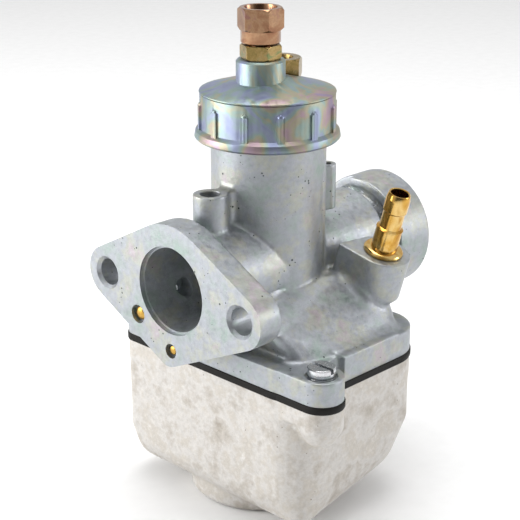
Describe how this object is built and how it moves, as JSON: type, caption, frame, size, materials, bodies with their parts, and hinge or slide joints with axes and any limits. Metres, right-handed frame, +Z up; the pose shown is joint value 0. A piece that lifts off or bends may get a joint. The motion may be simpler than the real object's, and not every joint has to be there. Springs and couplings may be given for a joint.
{
  "type": "slide carburetor",
  "caption": "Small two-stroke slide-throttle carburetor with round ribbed cap, flange outlet, tilted fuel nipple and deep float bowl.",
  "frame": {"origin": "centre of the outlet bore on the flange face", "axes": "+X along the bore from the flange to the air horn, +Y towards the adjusting-screw side, +Z up along the throttle slide"},
  "size_m": [0.0824, 0.0804, 0.1309],
  "materials": {
    "zinc_casting": "as-cast zinc die casting, matt, grey with faint green and pink tints",
    "passivated_zinc": "zinc casting with clear iridescent passivation, satin",
    "cast_aluminium": "rough pale cast aluminium with beige and grey mottling",
    "gasket_rubber": "black nitrile, matt",
    "zinc_plated_steel": "bright zinc plating",
    "spring_steel": "drawn wire, satin",
    "plated_slide": "plated slide, fine turned finish",
    "yellow_chromate_steel": "yellow chromate over zinc, coppery pink and gold, glossy",
    "olive_chromate_steel": "yellow chromate over zinc, olive, semi-gloss",
    "yellow_chromate_nipple": "yellow chromate over zinc, bright gold, glossy",
    "brass": "turned brass, semi-gloss",
    "float_plastic": "moulded polyamide, matt cream"
  },
  "bodies": {
    "housing": {"body_casting": "zinc_casting", "bowl_gasket": "gasket_rubber", "float_bowl": "cast_aluminium", "bowl_screws": "zinc_plated_steel", "bowl_spring_washers": "zinc_plated_steel", "lid_gasket": "gasket_rubber", "slide_lid": "passivated_zinc", "throttle_spring": "spring_steel", "slide_guide_pin": "spring_steel", "starter_spring": "spring_steel", "fuel_nipple": "yellow_chromate_nipple", "valve_seat": "brass", "float_pin": "spring_steel", "needle_jet": "brass", "jet_holder": "brass", "main_jet": "brass", "idle_jet": "brass", "starter_jet": "brass", "mixture_spring": "spring_steel", "stop_spring": "spring_steel", "flange_plugs": "brass"},
    "cap_ring": {"cap_ring": "passivated_zinc"},
    "throttle": {"throttle_slide": "plated_slide", "jet_needle": "brass", "needle_clip": "spring_steel", "spring_seat": "zinc_plated_steel"},
    "starter_valve": {"starter_piston": "brass", "starter_seal": "gasket_rubber"},
    "float": {"float_lobes": "float_plastic", "float_bracket": "zinc_plated_steel"},
    "inlet_needle": {"float_needle": "brass"},
    "cable_adjuster": {"throttle_adjuster": "yellow_chromate_steel"},
    "locknut": {"adjuster_locknut": "olive_chromate_steel"},
    "starter_cable_adjuster": {"starter_adjuster": "olive_chromate_steel"},
    "mixture_washer": {"mixture_washer": "zinc_plated_steel"},
    "mixture_screw": {"mixture_screw": "brass"},
    "stop_washer": {"stop_washer": "zinc_plated_steel"},
    "stop_screw": {"stop_screw": "brass"}
  },
  "joints": [
    {"name": "throttle_lift", "type": "slide", "parent": "housing", "child": "throttle", "axis": [0, 0, 1], "range_m": [0, 0.016], "stiffness_N_per_m": 150, "springref_m": -0.02, "deforming": ["throttle_spring"]},
    {"name": "starter_lift", "type": "slide", "parent": "housing", "child": "starter_valve", "axis": [0, 0, 1], "range_m": [0, 0.007], "stiffness_N_per_m": 150, "springref_m": -0.01, "deforming": ["starter_spring"]},
    {"name": "float_swing", "type": "hinge", "parent": "housing", "child": "float", "pos_m": [0.0566, -0.0176, -0.022], "axis": [0, 1, 0], "range_deg": [0, 12]},
    {"name": "inlet_needle_lift", "type": "slide", "parent": "housing", "child": "inlet_needle", "axis": [0, 0, 1], "range_m": [0, 0.00095]},
    {"name": "cable_adjuster_turn", "type": "hinge", "parent": "housing", "child": "cable_adjuster", "pos_m": [0.0318, 0, 0.057], "axis": [0, 0, 1], "continuous": true},
    {"name": "locknut_turn", "type": "hinge", "parent": "housing", "child": "locknut", "pos_m": [0.0318, 0, 0.05315], "axis": [0, 0, 1], "continuous": true},
    {"name": "starter_adjuster_turn", "type": "hinge", "parent": "housing", "child": "starter_cable_adjuster", "pos_m": [0.04391, 0.0046, 0.0459], "axis": [0, 0, 1], "continuous": true},
    {"name": "cap_ring_turn", "type": "hinge", "parent": "housing", "child": "cap_ring", "pos_m": [0.0343, 0, 0.038], "axis": [0, 0, 1], "continuous": true},
    {"name": "mixture_travel", "type": "slide", "parent": "housing", "child": "mixture_washer", "axis": [0, 1, 0], "range_m": [0, 0.0022], "deforming": ["mixture_spring"]},
    {"name": "mixture_turn", "type": "hinge", "parent": "mixture_washer", "child": "mixture_screw", "pos_m": [0.017, 0.02, -0.0065], "axis": [0, 1, 0], "range_deg": [0, 1080]},
    {"name": "stop_travel", "type": "slide", "parent": "housing", "child": "stop_washer", "axis": [0, 1, 0], "range_m": [0, 0.00193], "deforming": ["stop_spring"]},
    {"name": "stop_turn", "type": "hinge", "parent": "stop_washer", "child": "stop_screw", "pos_m": [0.0318, 0.02, -0.003], "axis": [0, 1, 0], "range_deg": [0, 1080]}
  ],
  "couplings": [
    {"joint": "inlet_needle_lift", "follows": "float_swing", "m_per_rad": 0.0044672},
    {"joint": "mixture_turn", "follows": "mixture_travel", "rad_per_m": 7854},
    {"joint": "stop_turn", "follows": "stop_travel", "rad_per_m": 8976}
  ]
}
